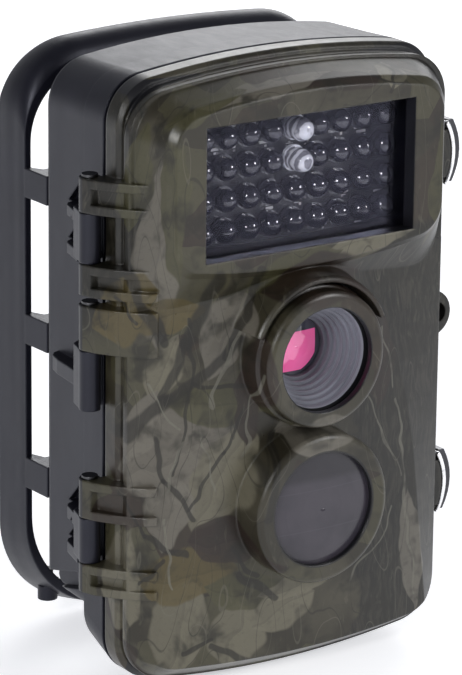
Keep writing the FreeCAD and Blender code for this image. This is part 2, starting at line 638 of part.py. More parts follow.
def inner_panel():
    plate = slab(36.4, 3.3, TOP - 3.4, PANEL[0], PANEL[1], 7.9)
    wide, high = 20.6, 15.4
    tools = [
        box(-wide, wide, -5, 0, LCD_Z - high, LCD_Z + high),
        box(-wide - 1.6, wide + 1.6, PANEL[1] - 0.7, 0, LCD_Z - high - 1.6, LCD_Z + high + 1.6),
        box(SWITCH[0] - 1.6, SWITCH[0] + 1.6, -5, 0, SWITCH[1] - 1.6, SWITCH[1] + 1.6 + 2 * SWITCH[2]),
        box(-25.0, 25.0, -5, 0, 0.0, 13.2),
    ]
    tools += [cyl_y(KEY_R + 0.08, x, z, -5, 0) for x, z in KEYS.values()]
    tools += [cyl_y(1.3, x, z, -5, 0) for x, z in PANEL_SCREWS]
    tools += [cyl_y(2.4, x, z, PANEL[1] - 0.6, 0) for x, z in PANEL_SCREWS]
    for k in range(7):
        tools.append(box(-9.0, 9.0, -5, 0, 104.0 + 2.4 * k, 105.2 + 2.4 * k))
    return cut(plate, tools)


def panel_screws():
    screws = []
    for x, z in PANEL_SCREWS:
        head = cyl_y(2.2, x, z, PANEL[1] - 0.58, PANEL[1] + 0.3)
        cross = fuse([box(x - 1.3, x + 1.3, PANEL[1] - 0.2, 0, z - 0.25, z + 0.25),
                      box(x - 0.25, x + 0.25, PANEL[1] - 0.2, 0, z - 1.3, z + 1.3)])
        screws.append(fuse([head.cut(cross), cyl_y(0.8, x, z, -7.1, PANEL[1] - 0.58)]))
    return screws


def lcd_window():
    return box(-22.1, 22.1, PANEL[1] - 0.68, PANEL[1] - 0.05, LCD_Z - 16.9, LCD_Z + 16.9)


def lcd_screen():
    return box(-24.5, 24.5, -6.0, PANEL[0] - 0.05, LCD_Z - 18.0, LCD_Z + 18.6)


def key(x, z):
    cap = cyl_y(KEY_R, x, z, PANEL[0] - 0.1, -0.55)
    flange = cyl_y(3.6, x, z, PANEL[0] - 0.65, PANEL[0] - 0.1)
    stem = cyl_y(1.2, x, z, -5.0, PANEL[0] - 0.6)
    return fuse([cap, flange, stem])


def key_switches():
    return [box(x - 2.2, x + 2.2, BOARD[1], -5.55, z - 2.2, z + 2.2) for x, z in KEYS.values()]


def power_switch():
    x, z = SWITCH[:2]
    knob = box(x - 1.52, x + 1.52, -5.0, -0.5, z - 1.5, z + 1.5)
    return fuse([knob, box(x - 2.6, x + 2.6, -5.0, PANEL[0] - 0.1, z - 2.4, z + 2.4)])


def slide_switch():
    x, z, travel = SWITCH
    return box(x - 3.2, x + 3.2, BOARD[1], -5.1, z - 3.6, z + 3.6 + 2 * travel)


def sd_slot():
    shell = box(-21.0, -6.0, BOARD[1], BOARD[1] + 1.9, 13.6, 21.0)
    return shell.cut(box(-19.2, -7.8, BOARD[1] + 0.45, BOARD[1] + 1.35, 13.0, 20.4))


def sd_card():
    return box(-19.0, -8.0, BOARD[1] + 0.5, BOARD[1] + 1.3, 10.5, 20.3)


def usb_port():
    shell = box(6.0, 14.0, BOARD[1], BOARD[1] + 3.3, 13.6, 22.6)
    hollow = shell.cut(box(6.6, 13.4, BOARD[1] + 0.5, BOARD[1] + 2.8, 13.0, 21.0))
    return fuse([hollow, box(7.8, 12.2, BOARD[1] + 1.4, BOARD[1] + 1.9, 14.6, 21.2)])


def speaker():
    body = cyl_y(6.0, -17.5, 24.5, BOARD[0] - 2.6, BOARD[0])
    return body.cut(cyl_y(4.6, -17.5, 24.5, BOARD[0] - 3.0, BOARD[0] - 2.2))


def hinge_pins():
    pins = {}
    for name, (z0, z1) in HINGE_PINS.items():
        pin = cyl_z(HINGE_PIN_R, HINGE_X, 0, z0 + 0.1, z1)
        head = cyl_z(1.7, HINGE_X, 0, z1 + 0.06, z1 + 0.7)
        pins[name] = fuse([pin, cyl_z(HINGE_PIN_R, HINGE_X, 0, z1 - 0.1, z1 + 0.2), head])
    return pins


def latch_pins():
    return [cyl_z(0.9, LATCH_PIVOT[0], LATCH_PIVOT[1], z - 6.8, z + 6.8) for z in LATCH_Z.values()]


def build():
    cell_solids, springs, plates = cells()
    nodes = {
        "rear_case": rear_case(),
        "strap_bracket": strap_bracket(),
        "bracket_screws": bracket_screws(),
        "tripod_insert": tripod_insert(),
        "dc_jack": dc_jack(),
        "port_cover": port_cover(),
        "battery_tray": battery_tray(),
        "aa_cells": Part.makeCompound(cell_solids),
        "battery_springs": Part.makeCompound(springs),
        "battery_contacts": Part.makeCompound(plates),
        "latch_pins": Part.makeCompound(latch_pins()),
        "front_cover": front_cover(),
        "door_seal": door_seal(),
        "led_window": led_window(),
        "led_plate": led_plate(),
        "ir_leds": Part.makeCompound([led(x, z, LED_TIP) for x, z in led_positions(False)]),
        "clear_leds": Part.makeCompound([led(x, z, CLEAR_TIP) for x, z in led_positions(True)]),
        "led_board": led_board(),
        "lens_baffle": lens_baffle(),
        "lens_glass": lens_glass(),
        "lens_element": lens_element(),
        "lens_barrel": lens_barrel(),
        "lens_holder": lens_holder(),
        "image_sensor": box(-4.0, 4.0, BOARD[0] - 0.9, BOARD[0], LENS_Z - 4.0, LENS_Z + 4.0),
        "pir_window": pir_window(),
        "pir_funnel": pir_funnel(),
        "pir_sensor": pir_sensor(),
        "main_board": main_board(),
        "board_screws": Part.makeCompound(board_screws()),
        "board_chips": Part.makeCompound(board_chips()),
        "microphone": cyl_y(2.0, 0, 17.5, BOARD[0] - 1.6, BOARD[0]),
        "speaker": speaker(),
        "sd_slot": sd_slot(),
        "sd_card": sd_card(),
        "usb_port": usb_port(),
        "key_switches": Part.makeCompound(key_switches()),
        "slide_switch": slide_switch(),
        "power_switch": power_switch(),
        "inner_panel": inner_panel(),
        "panel_screws": Part.makeCompound(panel_screws()),
        "lcd_window": lcd_window(),
        "lcd_screen": lcd_screen(),
    }
    nodes.update(hinge_pins())
    for name, zc in LATCH_Z.items():
        nodes[name] = latch(zc)
        nodes[name.replace("latch", "wire")] = latch_wire(zc)
    for name, (x, z) in KEYS.items():
        nodes[name] = key(x, z)
    return nodes


os.makedirs("parts", exist_ok=True)
for name, shape in build().items():
    if not shape.isValid() or not shape.Solids:
        print("CHECK", name, shape.isValid(), len(shape.Solids))
    print(name, len(shape.Solids), round(shape.Volume / 1000.0, 3), "cm3")
    shape.translate(V(-MIDDLE[0], -MIDDLE[1], 0))
    shape.exportStep("parts/" + name + ".step")
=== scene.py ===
"""Trail camera: looks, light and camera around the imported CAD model."""
import json
import math

import bpy
from mathutils import Matrix, Vector

# Camera: to the left of the front and a little above it, with a long lens
VIEW_AZIMUTH = math.radians(33.96)
VIEW_ELEVATION = math.radians(17.28)
VIEW_ROLL = math.radians(0.66)
VIEW_DISTANCE = 0.8413
VIEW_LENS = 211.4
AIM = (-0.00647, -0.00513, 0.07089)

# From the frame's origin to the middle of the case's seam, in millimetres: the patterns are drawn from there
SHIFT = (1.575, 9.7, 0.0)

# Places of the parts that the patterns follow, in those millimetres
LENS_Z = 72.7
PIR_Z = 39.9
SCREEN_Z = 71.0
KEYPAD_Z = 34.0
WINDOW_Z = 109.85
WINDOW_HALF = (26.14, 14.29)
CELL_COLUMNS = (-21.9, -7.3, 7.3, 21.9)
CELL_ROWS = (49.3, 102.7)
CELL_ROW_STEP = 53.35

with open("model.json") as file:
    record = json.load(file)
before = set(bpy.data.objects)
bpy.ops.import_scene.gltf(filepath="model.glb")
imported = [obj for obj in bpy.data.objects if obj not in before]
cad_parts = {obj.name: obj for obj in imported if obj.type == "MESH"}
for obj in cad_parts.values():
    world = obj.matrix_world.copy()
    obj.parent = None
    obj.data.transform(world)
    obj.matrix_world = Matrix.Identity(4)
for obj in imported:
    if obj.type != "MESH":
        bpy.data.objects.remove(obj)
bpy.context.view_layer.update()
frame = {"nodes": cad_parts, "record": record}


def toned(tint, factor, lift=0.0):
    """A colour made lighter or darker by a factor, then lifted by the same amount in each channel."""
    return tuple(c * factor + lift for c in tint)


class Look:
    """A material and short ways to add nodes to it."""

    def __init__(self, name):
        self.material = bpy.data.materials.new(name)
        self.material.use_nodes = True
        self.tree = self.material.node_tree
        self.shader = self.tree.nodes["Principled BSDF"]
        self.output = self.tree.nodes["Material Output"]
        self.place = None

    def node(self, kind, **settings):
        made = self.tree.nodes.new("ShaderNode" + kind)
        for key, value in settings.items():
            setattr(made, key, value)
        return made

    def put(self, socket, value):
        """Links an output to a socket, or sets the socket to a plain value."""
        if isinstance(value, bpy.types.NodeSocket):
            self.tree.links.new(value, socket)
        elif isinstance(value, (tuple, list)) and len(value) == 3 and socket.type == "RGBA":
            socket.default_value = (*value, 1.0)
        else:
            socket.default_value = value

    def math(self, operation, a, b=0.0, c=0.0, clamp=False):
        made = self.node("Math", operation=operation, use_clamp=clamp)
        for socket, value in zip(made.inputs, (a, b, c)):
            self.put(socket, value)
        return made.outputs[0]

    def mm(self):
        """Position in millimetres from the middle of the seam, at the base."""
        if self.place is None:
            source = self.node("TexCoord").outputs["Object"]
            made = self.node("VectorMath", operation="MULTIPLY_ADD")
            self.put(made.inputs[0], source)
            made.inputs[1].default_value = (1000.0, 1000.0, 1000.0)
            made.inputs[2].default_value = SHIFT
            split = self.node("SeparateXYZ")
            self.put(split.inputs[0], made.outputs[0])
            self.place = (made.outputs[0], split.outputs[0], split.outputs[1], split.outputs[2])
        return self.place

    def vector(self, x, y, z):
        made = self.node("CombineXYZ")
        for socket, value in zip(made.inputs, (x, y, z)):
            self.put(socket, value)
        return made.outputs[0]

    def stretched(self, vector, factors):
        made = self.node("VectorMath", operation="MULTIPLY")
        self.put(made.inputs[0], vector)
        made.inputs[1].default_value = factors
        return made.outputs[0]

    def noise(self, scale, detail=3.0, rough=0.5, vector=None, distortion=0.0):
        made = self.node("TexNoise")
        self.put(made.inputs["Vector"], vector or self.mm()[0])
        made.inputs["Scale"].default_value = scale
        made.inputs["Detail"].default_value = detail
        made.inputs["Roughness"].default_value = rough
        made.inputs["Distortion"].default_value = distortion
        return made.outputs["Fac"]

    def cells(self, scale, feature="F1", vector=None, output="Distance"):
        made = self.node("TexVoronoi", feature=feature)
        self.put(made.inputs["Vector"], vector or self.mm()[0])
        made.inputs["Scale"].default_value = scale
        return made.outputs[output]

    def step(self, value, low, high, bottom=0.0, top=1.0):
        """Smoothly from bottom at low to top at high."""
        made = self.node("MapRange", interpolation_type="SMOOTHSTEP")
        for socket, given in zip(made.inputs, (value, low, high, bottom, top)):
            self.put(socket, given)
        return made.outputs[0]

    def mix(self, factor, a, b):
        made = self.node("Mix", data_type="RGBA")
        for name, value in (("Factor_Float", factor), ("A_Color", a), ("B_Color", b)):
            socket = next(s for s in made.inputs if s.identifier == name)
            self.put(socket, value)
        return next(s for s in made.outputs if s.identifier == "Result_Color")

    def held(self, value, low, high):
        """The value, kept between low and high."""
        return self.math("MINIMUM", self.math("MAXIMUM", value, low), high)

    def away(self, value, middle):
        """How far value is from middle."""
        return self.math("ABSOLUTE", self.math("SUBTRACT", value, middle))

    def ripple(self, value, operation, amount):
        """0 in the middle of each repeat and 0.5 at its ends, for value multiplied or divided by amount."""
        return self.away(self.math("FRACT", self.math(operation, value, amount)), 0.5)

    def within(self, value, middle, half, soft=0.05):
        """1 where value is less than half away from middle."""
        return self.step(self.away(value, middle), half - soft, half + soft, 1.0, 0.0)

    def both(self, *masks):
        """1 where every mask is 1."""
        out = masks[0]
        for mask in masks[1:]:
            out = self.math("MULTIPLY", out, mask)
        return out

    def either(self, *masks):
        """1 where any mask is 1."""
        out = masks[0]
        for mask in masks[1:]:
            out = self.math("MAXIMUM", out, mask)
        return out

    def radius(self, x0, z0):
        """Distance from the Y line through (x0, z0)."""
        _, x, _, z = self.mm()
        a = self.math("SUBTRACT", x, x0)
        b = self.math("SUBTRACT", z, z0)
        squares = self.math("ADD", self.math("MULTIPLY", a, a), self.math("MULTIPLY", b, b))
        return self.math("SQRT", squares)

    def finish(self, colour, rough, height=None, depth=0.02, rounding=0.0, **values):
        """Sets colour, roughness, relief in millimetres, rounded edges and the shader's plain values."""
        self.put(self.shader.inputs["Base Color"], colour)
        self.put(self.shader.inputs["Roughness"], rough)
        for name, value in values.items():
            self.shader.inputs[name.replace("_", " ")].default_value = value
        normal = None
        if rounding:
            edge = self.node("Bevel")
            edge.samples = 6
            edge.inputs["Radius"].default_value = rounding / 1000.0
            normal = edge.outputs[0]
        if height is not None:
            bump = self.node("Bump")
            bump.inputs["Strength"].default_value = 1.0
            bump.inputs["Distance"].default_value = depth / 1000.0
            self.put(bump.inputs["Height"], height)
            if normal is not None:
                self.put(bump.inputs["Normal"], normal)
            normal = bump.outputs[0]
        if normal is not None:
            self.put(self.shader.inputs["Normal"], normal)
        return self.material


def new_group(name, vectors, numbers, results):
    """A node group with these inputs and outputs, and the two nodes that hold them."""
    group = bpy.data.node_groups.new(name, "ShaderNodeTree")
    for names, way, kind in ((vectors, "INPUT", "Vector"), (numbers, "INPUT", "Float"),
                             (results, "OUTPUT", "Float")):
        for socket in names:
            group.interface.new_socket(socket, in_out=way, socket_type="NodeSocket" + kind)
    return group, group.nodes.new("NodeGroupInput"), group.nodes.new("NodeGroupOutput")


def soft_edge(group, value, low, high, bottom=0.0, top=1.0):
    """A smooth step inside a node group."""
    soft = group.nodes.new("ShaderNodeMapRange")
    soft.interpolation_type = "SMOOTHSTEP"
    group.links.new(value, soft.inputs[0])
    for socket, number in zip(soft.inputs[1:5], (low, high, bottom, top)):
        socket.default_value = number
    return soft.outputs[0]


def leaf_group():
    """A pointed leaf, from a flat position in millimetres: its mask, and the shade of its vein and side."""
    numbers = ("X", "Z", "Angle", "Length", "Width")
    group, given, out = new_group("leaf", ("Place",), numbers, ("Mask", "Shade"))
    nodes, links = group.nodes, group.links

    def op(operation, a, b=None):
        made = nodes.new("ShaderNodeMath")
        made.operation = operation
        for socket, value in zip(made.inputs, (a, b)):
            if isinstance(value, bpy.types.NodeSocket):
                links.new(value, socket)
            elif value is not None:
                socket.default_value = value
        return made.outputs[0]

    split = nodes.new("ShaderNodeSeparateXYZ")
    links.new(given.outputs["Place"], split.inputs[0])
    dx = op("SUBTRACT", split.outputs[0], given.outputs["X"])
    dz = op("SUBTRACT", split.outputs[1], given.outputs["Z"])
    cos = op("COSINE", given.outputs["Angle"])
    sin = op("SINE", given.outputs["Angle"])
    along = op("ADD", op("MULTIPLY", dx, cos), op("MULTIPLY", dz, sin))
    across = op("SUBTRACT", op("MULTIPLY", dz, cos), op("MULTIPLY", dx, sin))
    s = op("DIVIDE", along, op("MULTIPLY", given.outputs["Length"], 0.5))
    t = op("ABSOLUTE", op("DIVIDE", across, op("MULTIPLY", given.outputs["Width"], 0.5)))
    inside = op("SUBTRACT", op("SUBTRACT", 1.0, op("MULTIPLY", s, s)), t)
    mask = soft_edge(group, inside, -0.03, 0.1)
    links.new(mask, out.inputs["Mask"])
    vein = op("MULTIPLY", op("LESS_THAN", t, 0.05), 0.55)
    side = op("MULTIPLY", op("GREATER_THAN", across, 0.0), 0.3)
    links.new(op("MULTIPLY", op("MAXIMUM", vein, side), mask), out.inputs["Shade"])
    return group


def twig_group():
    """A straight twig between two points: its mask, from a flat position in millimetres."""
    group, given, out = new_group("twig", ("Place", "Start", "Along"), ("Width",), ("Mask",))
    nodes, links = group.nodes, group.links

    def vec(operation, a, b):
        made = nodes.new("ShaderNodeVectorMath")
        made.operation = operation
        links.new(a, made.inputs[0])
        links.new(b, made.inputs[1])
        return made

    away = vec("SUBTRACT", given.outputs["Place"], given.outputs["Start"]).outputs[0]
    top = vec("DOT_PRODUCT", away, given.outputs["Along"]).outputs["Value"]
    low = vec("DOT_PRODUCT", given.outputs["Along"], given.outputs["Along"]).outputs["Value"]
    share = nodes.new("ShaderNodeMath")
    share.operation = "DIVIDE"
    share.use_clamp = True
    links.new(top, share.inputs[0])
    links.new(low, share.inputs[1])
    nearest = nodes.new("ShaderNodeVectorMath")
    nearest.operation = "SCALE"
    links.new(given.outputs["Along"], nearest.inputs[0])
    links.new(share.outputs[0], nearest.inputs["Scale"])
    gap = vec("DISTANCE", away, nearest.outputs[0]).outputs["Value"]
    ratio = nodes.new("ShaderNodeMath")
    ratio.operation = "DIVIDE"
    links.new(gap, ratio.inputs[0])
    links.new(given.outputs["Width"], ratio.inputs[1])
    links.new(soft_edge(group, ratio.outputs[0], 0.35, 0.65, 1.0, 0.0), out.inputs["Mask"])
    return group


PALE = (0.122, 0.112, 0.080)
GREY_PALE = (0.114, 0.104, 0.085)
OLIVE = (0.050, 0.047, 0.022)
TAN = (0.074, 0.057, 0.021)
BROWN = (0.020, 0.012, 0.009)
SOOT = (0.010, 0.009, 0.006)
DARK_TWIG = (0.010, 0.009, 0.007)
PALE_TWIG = (0.13, 0.125, 0.10)

# Printed leaves: x, z, angle in degrees, length, width, colour
LEAVES = (
    (-30, 54, 20, 30, 17, GREY_PALE), (-19, 48, 60, 24, 11, PALE), (-32, 42, 80, 15, 11, GREY_PALE),
    (-29, 17, 75, 19, 13, PALE), (-15, 15, 70, 16, 11, PALE), (-18, 79, 65, 18, 11, GREY_PALE),
    (-34, 73, 60, 13, 8, PALE), (-35, 97, 88, 34, 10, GREY_PALE), (-44, 87, 20, 18, 12, TAN),
    (-32, 84, 0, 16, 7, TAN), (-28, 28, 5, 24, 10, TAN), (-13, 24, -5, 18, 7, OLIVE),
    (-30, 108, 92, 30, 7, OLIVE), (-20, 64, -10, 22, 7, OLIVE), (13, 93, 5, 18, 6, PALE),
    (-4, 90, 10, 20, 6, OLIVE), (30, 22, 95, 26, 6, GREY_PALE), (20, 128, 60, 9, 6, PALE),
    (7, 127, 5, 17, 6, BROWN), (29, 102, 92, 24, 4, OLIVE), (-10, 128, 8, 30, 6, GREY_PALE),
    (-24, 126, 20, 18, 6, OLIVE), (2, 87, 0, 22, 9, BROWN), (20, 67, 85, 18, 8, BROWN),
    (-12, 66, 80, 22, 6, BROWN), (1, 58, 5, 16, 6, GREY_PALE), (-4, 19, 20, 14, 8, PALE),
    (-1, 24, 10, 16, 5, PALE), (-17, 35, 0, 18, 8, BROWN), (-40, 60, 60, 18, 8, GREY_PALE),
    (-45, 22, 80, 26, 9, PALE), (-41, 116, 80, 20, 8, OLIVE),
)

# Printed twigs: x and z of both ends, width, and whether dark
TWIGS = (
    (-46, 58, -32, 66, 3.6, True), (-32, 66, -15, 76, 2.6, True), (-34, 67, -28, 77, 2.4, True),
    (-28, 77, -20, 90, 3.0, True), (-27, 82, -27, 68, 0.9, True), (-27, 68, -30, 50, 0.9, True),
    (-14, 62, -18, 53, 0.8, True), (-18, 53, -27, 42, 1.0, True), (-36, 57, -33, 49, 1.6, True),
    (-33, 49, -25, 39, 1.3, True), (-46, 45, -38, 36, 1.2, True), (-38, 36, -28, 33, 1.3, True),
    (-27, 69, -13, 66, 1.0, True), (-10, 92, -18, 74, 1.8, True), (-8, 57, -9, 44, 1.6, True),
    (-33, 32, -40, 26, 1.0, True), (-20, 12, -8, 6, 1.6, True), (-28, 12, -20, 14, 1.2, True),
    (-14, 28, -6, 22, 1.6, True), (-16, 33, -10, 27, 1.2, True), (12, 130, 20, 124, 1.0, True),
    (21, 130, 17, 123, 0.8, True), (-40, 84, -47, 90, 0.8, True), (-47, 103, -34, 78, 2.2, True),
    (-15, 78, -22, 64, 1.0, False), (-29, 56, -32, 46, 0.9, False), (25, 58, 31, 12, 0.7, False),
    (24, 60, 21, 74, 0.6, False), (-11, 70, -14, 52, 0.6, False), (-33, 40, -30, 26, 0.5, False),
    (16, 60, 26, 40, 0.5, False), (12, 22, 24, 34, 0.5, False), (-38, 70, -30, 60, 0.5, False),
    (-24, 60, -20, 45, 0.5, False),
)


def camouflage(look):
    """The printed film: mottled ground, bark, leaves and twigs, wrapped round the cover's sides."""
    _, x, y, z = look.mm()
    depth = look.math("ADD", y, 13.0)
    side = look.held(look.math("DIVIDE", x, 30.0), -1.0, 1.0)
    u = look.math("MULTIPLY_ADD", look.math("MULTIPLY", side, depth), 0.9, x)
    rise = look.held(look.math("DIVIDE", look.math("SUBTRACT", z, 67.0), 60.0), -1.0, 1.0)
    v = look.math("MULTIPLY_ADD", look.math("MULTIPLY", rise, depth), 0.9, z)
    flat = look.vector(u, v, 0.0)

    wobble = look.node("TexNoise")
    look.put(wobble.inputs["Vector"], flat)
    wobble.inputs["Scale"].default_value = 0.13
    wobble.inputs["Detail"].default_value = 0.8
    bent = look.node("VectorMath", operation="MULTIPLY_ADD")
    look.put(bent.inputs[0], wobble.outputs["Color"])
    bent.inputs[1].default_value = (5.0, 5.0, 0.0)
    offset = look.node("VectorMath", operation="ADD")
    look.put(offset.inputs[0], flat)
    offset.inputs[1].default_value = (-2.5, -2.5, 0.0)
    look.put(bent.inputs[2], offset.outputs[0])
    bent = bent.outputs[0]

    soft = look.noise(0.055, 2.0, 0.5, bent)
    ground = look.mix(look.step(soft, 0.42, 0.58), (0.022, 0.019, 0.012), (0.048, 0.043, 0.029))
    patch = look.node("TexVoronoi", feature="F1")
    look.put(patch.inputs["Vector"], bent)
    patch.inputs["Scale"].default_value = 0.075
    tone = look.node("SeparateColor")
    look.put(tone.inputs[0], patch.outputs["Color"])
    ground = look.mix(look.step(tone.outputs[0], 0.55, 0.6, 0.0, 0.7), ground, (0.052, 0.048, 0.027))
    ground = look.mix(look.step(tone.outputs[1], 0.66, 0.72, 0.0, 0.75), ground, BROWN)

    # Bark: dark, streaked upright, over the right-hand side and the upper left
    streak = look.noise(0.9, 5.0, 0.62, look.stretched(bent, (1.0, 0.16, 1.0)))
    ridges = look.noise(2.4, 3.0, 0.6, look.stretched(flat, (1.0, 0.1, 1.0)))
    edge = look.math("MULTIPLY_ADD", look.noise(0.09, 3.0, 0.6, flat), 16.0, u)
    right = look.both(look.step(edge, 19.0, 21.5), look.step(v, 94.0, 96.0, 1.0, 0.0))
    rail = look.step(edge, 36.0, 38.0)
    left = look.both(look.step(edge, -29.0, -33.0), look.step(v, 78.0, 88.0))
    bark = look.mix(look.step(streak, 0.40, 0.68), (0.005, 0.005, 0.004), (0.026, 0.023, 0.018))
    bark = look.mix(look.step(ridges, 0.56, 0.74, 0.0, 0.5), bark, (0.050, 0.046, 0.036))
    ground = look.mix(look.math("MULTIPLY", look.either(right, rail, left), 0.92), ground, bark)

    colour = ground
    leaf = leaf_group()
    for at_x, at_z, angle, length, width, tint in LEAVES:
        one = look.node("Group")
        one.node_tree = leaf
        look.put(one.inputs["Place"], bent)
        given = {"X": at_x, "Z": at_z, "Angle": math.radians(angle), "Length": length * 1.15,
                 "Width": width * 1.25}
        for name, value in given.items():
            one.inputs[name].default_value = value
        colour = look.mix(look.math("MULTIPLY", one.outputs["Mask"], 0.86), colour, tint)
        colour = look.mix(one.outputs["Shade"], colour, toned(tint, 0.6))
    twig = twig_group()
    for x0, z0, x1, z1, width, dark in TWIGS:
        one = look.node("Group")
        one.node_tree = twig
        look.put(one.inputs["Place"], bent)
        one.inputs["Start"].default_value = (x0, z0, 0.0)
        one.inputs["Along"].default_value = (x1 - x0, z1 - z0, 0.0)
        one.inputs["Width"].default_value = width
        strength, tint = (0.78, DARK_TWIG) if dark else (0.6, PALE_TWIG)
        colour = look.mix(look.math("MULTIPLY", one.outputs["Mask"], strength), colour, tint)
    fleck = look.noise(0.75, 6.0, 0.7, bent)
    colour = look.mix(look.step(fleck, 0.5, 0.75, 0.0, 0.3), colour, SOOT)
    shadow = look.noise(0.11, 3.0, 0.6, bent)
    colour = look.mix(look.step(shadow, 0.49, 0.68, 0.0, 0.8), colour, (0.009, 0.008, 0.005))
    stems = look.noise(0.11, 0.6, 0.4, look.stretched(flat, (1.0, 0.34, 1.0)))
    stems = look.ripple(stems, "MULTIPLY", 7.0)
    colour = look.mix(look.step(stems, 0.012, 0.034, 0.5, 0.0), colour, SOOT)
    threads = look.noise(0.09, 0.4, 0.4, look.stretched(flat, (1.0, 0.3, 2.0)))
    threads = look.ripple(threads, "MULTIPLY", 4.0)
    colour = look.mix(look.step(threads, 0.003, 0.011, 0.28, 0.0), colour, (0.13, 0.122, 0.096))
    fibres = look.noise(1.5, 3.0, 0.6, look.stretched(bent, (0.5, 0.12, 1.0)))
    colour = look.mix(look.step(fibres, 0.58, 0.74, 0.0, 0.28), colour, (0.10, 0.094, 0.068))
    return colour


def front_cover_look():
    """The printed film outside, bare black plastic inside, and black painted shade on the walls of the lens
    and motion-sensor openings and the lamp window's jamb.
    """
    look = Look("camouflage_cover")
    _, x, y, z = look.mm()
    colour = camouflage(look)
    # Painted shade: the walls of the lens and motion-sensor openings and the lamp window's jamb are painted
    # black, as these recesses fall in shade.
    lens_wall_painted_shade = look.step(look.radius(0.0, LENS_Z), 11.4, 11.5, 1.0, 0.0)
    pir_wall_painted_shade = look.both(look.step(look.radius(0.0, PIR_Z), 12.75, 12.9, 1.0, 0.0),
                         look.step(y, -23.9, -23.8))
    jamb_painted_shade = look.both(look.within(x, 0.0, WINDOW_HALF[0], 0.02),
                     look.within(z, WINDOW_Z, WINDOW_HALF[1], 0.02),
                     look.step(y, -17.48, -17.4))
    inside = look.both(look.within(x, 0.0, 36.9, 0.1), look.within(z, 67.5, 64.9, 0.1),
                       look.step(y, -7.4, -7.2))
    back = look.step(y, -0.62, -0.58)
    # Black where the cover is bare plastic inside and at the back, and black painted shade on the walls of
    # the openings.
    bare_and_painted_shade = look.either(lens_wall_painted_shade, pir_wall_painted_shade, jamb_painted_shade, inside, back)
    colour = look.mix(bare_and_painted_shade, colour, (0.008, 0.008, 0.010))
    grain = look.noise(7.0, 2.0)
    rough = look.math("MULTIPLY_ADD", look.noise(0.4, 3.0), 0.16, 0.24)
    return look.finish(colour, rough, grain, 0.012, 0.7, Specular_IOR_Level=0.42)


def plastic(name, tint, rough=0.42, grain=0.02, rounding=0.4, spread=0.25, specular=0.5):
    """Moulded plastic: fine spark-eroded grain, faint flow marks and handling wear."""
    look = Look(name)
    fine = look.noise(9.0, 2.0)
    cloud = look.noise(0.08, 4.0, 0.6)
    flow = look.noise(0.5, 3.0, 0.6, look.stretched(look.mm()[0], (1.0, 0.3, 0.12)))
    dark = toned(tint, 1 - spread)
    light = toned(tint, 1 + spread, 0.0008)
    colour = look.mix(look.step(cloud, 0.3, 0.7), dark, light)
    speck = look.cells(1.7)
    colour = look.mix(look.step(speck, 0.03, 0.07, 0.25, 0.0), colour, toned(tint, 2.2, 0.004))
    roughness = look.math("MULTIPLY_ADD", flow, 0.16, rough - 0.08)
    return look.finish(colour, roughness, fine, grain, rounding, Specular_IOR_Level=specular,
                       Specular_Tint=(0.84, 0.86, 1.0, 1.0))


def metal(name, tint, rough=0.28, rounding=0.15, brushed=(1.0, 1.0, 0.1)):
    """Bare or plated metal with drawing marks and small dull spots."""
    look = Look(name)
    lines = look.noise(6.0, 3.0, 0.6, look.stretched(look.mm()[0], brushed))
    spots = look.noise(0.9, 4.0, 0.65)
    colour = look.mix(look.step(spots, 0.5, 0.75, 0.0, 0.55), tint, toned(tint, 0.55))
    roughness = look.math("MULTIPLY_ADD", lines, 0.2, rough - 0.1)
    return look.finish(colour, roughness, lines, 0.006, rounding, Metallic=1.0)


def board_look(name, mask_tint, trace_tint):
    """A printed circuit board: traces in steps, pads, vias and white legend."""
    look = Look(name)
    pitch = 0.9
    _, x, _, z = look.mm()
    grid = look.vector(look.math("SNAP", x, 0.6), 0.0, look.math("SNAP", z, 0.6))
    level = look.vector(look.math("MULTIPLY", x, 0.3), 0.0, look.math("SNAP", z, pitch))
    upright = look.vector(look.math("SNAP", x, pitch), 3.0, look.math("MULTIPLY", z, 0.3))
    run = look.noise(0.35, 1.0, 0.5, level)
    rise = look.noise(0.35, 1.0, 0.5, upright)
    line = look.ripple(z, "DIVIDE", pitch)
    post = look.ripple(x, "DIVIDE", pitch)
    tracks = look.either(look.both(look.step(run, 0.5, 0.52), look.step(line, 0.2, 0.24, 1.0, 0.0)),
                         look.both(look.step(rise, 0.54, 0.56), look.step(post, 0.2, 0.24, 1.0, 0.0)))
    colour = look.mix(tracks, mask_tint, trace_tint)
    via = look.cells(0.33, vector=grid)
    colour = look.mix(look.step(via, 0.08, 0.12, 1.0, 0.0), colour, (0.55, 0.53, 0.48))
    legend = look.both(look.step(look.noise(0.22, 0.0, 0.5, grid), 0.66, 0.68),
                       look.step(line, 0.3, 0.34, 1.0, 0.0))
    colour = look.mix(legend, colour, (0.6, 0.6, 0.58))
    return look.finish(colour, look.math("MULTIPLY_ADD", tracks, 0.12, 0.3), tracks, 0.03, 0.1)


def chip_look():
    """Moulded chips and switches with bright legs and faint marks."""
    look = Look("moulded_chips")
    _, x, y, z = look.mm()
    speck = look.noise(6.0, 4.0, 0.7)
    colour = look.mix(look.step(speck, 0.35, 0.7), (0.012, 0.012, 0.013), (0.035, 0.035, 0.036))
    rows = look.ripple(z, "DIVIDE", 1.27)
    legs = look.both(look.step(rows, 0.2, 0.24, 1.0, 0.0), look.step(y, -8.7, -8.55))
    colour = look.mix(look.math("MULTIPLY", legs, 0.7), colour, (0.5, 0.5, 0.5))
    lettering = look.noise(1.4, 0.0, 0.5, look.vector(x, 0.0, look.math("SNAP", z, 1.1)))
    marks = look.both(look.step(lettering, 0.58, 0.6),
                      look.step(look.math("FRACT", look.math("DIVIDE", z, 1.1)), 0.55, 0.6, 1.0, 0.0))
    colour = look.mix(look.math("MULTIPLY", marks, 0.35), colour, (0.25, 0.25, 0.25))
    return look.finish(colour, 0.5, speck, 0.02, 0.15)


